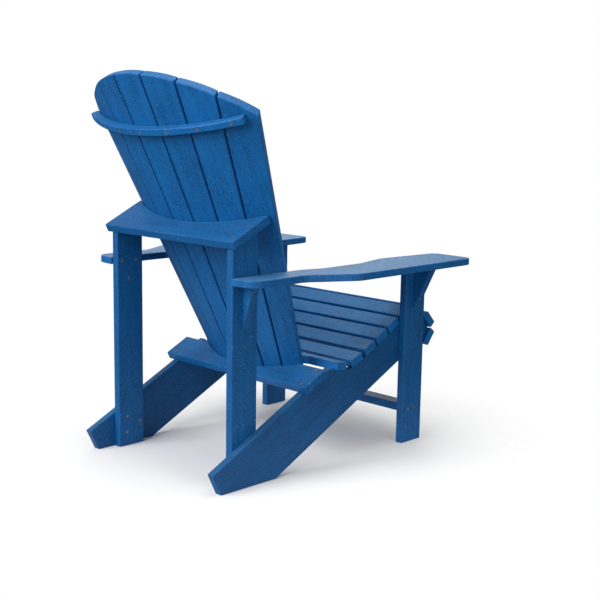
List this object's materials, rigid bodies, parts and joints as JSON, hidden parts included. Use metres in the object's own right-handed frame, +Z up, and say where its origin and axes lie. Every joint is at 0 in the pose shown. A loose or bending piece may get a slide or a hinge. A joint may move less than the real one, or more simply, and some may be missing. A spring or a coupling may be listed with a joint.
{
  "type": "adirondack chair",
  "caption": "Garden armchair of plastic boards: fan-shaped slatted back with an arched top, sloping contoured slat seat, broad flat arms on brackets.",
  "frame": {"origin": "on the floor, at the middle of the overall width and depth", "axes": "+Z up, -Y the way the sitter faces, +X the sitter's left"},
  "size_m": [0.826, 0.9624, 1.0832],
  "materials": {
    "board": "matt, lightly pebbled recycled plastic with fine pale flecks",
    "screw": "dull tan-coated steel, square drive"
  },
  "bodies": {
    "root": {"arm_left": "board", "arm_pocket_screws": "screw", "arm_right": "board", "back_slat_1": "board", "back_slat_2": "board", "back_slat_3": "board", "back_slat_4": "board", "back_slat_5": "board", "back_slat_6": "board", "back_slat_7": "board", "back_to_lower_brace_screws": "screw", "back_to_mid_brace_screws": "screw", "front_bracket_left": "board", "front_bracket_right": "board", "front_bracket_screws": "screw", "front_leg_left": "board", "front_leg_right": "board", "leg_screws": "screw", "lower_brace": "board", "lower_brace_screws": "screw", "mid_brace": "board", "mid_brace_screws": "screw", "post_arm_screws": "screw", "post_foot_screws": "screw", "rail_screws": "screw", "rear_bracket_left": "board", "rear_bracket_right": "board", "rear_bracket_screws": "screw", "rear_post_left": "board", "rear_post_right": "board", "seat_screws": "screw", "seat_slat_1": "board", "seat_slat_2": "board", "seat_slat_3": "board", "seat_slat_4": "board", "seat_slat_5": "board", "seat_slat_6": "board", "seat_slat_7": "board", "seat_slat_8": "board", "seat_slat_9": "board", "stretcher": "board", "stretcher_screws": "screw", "stringer_left": "board", "stringer_right": "board", "upper_rail": "board"}
  },
  "joints": []
}
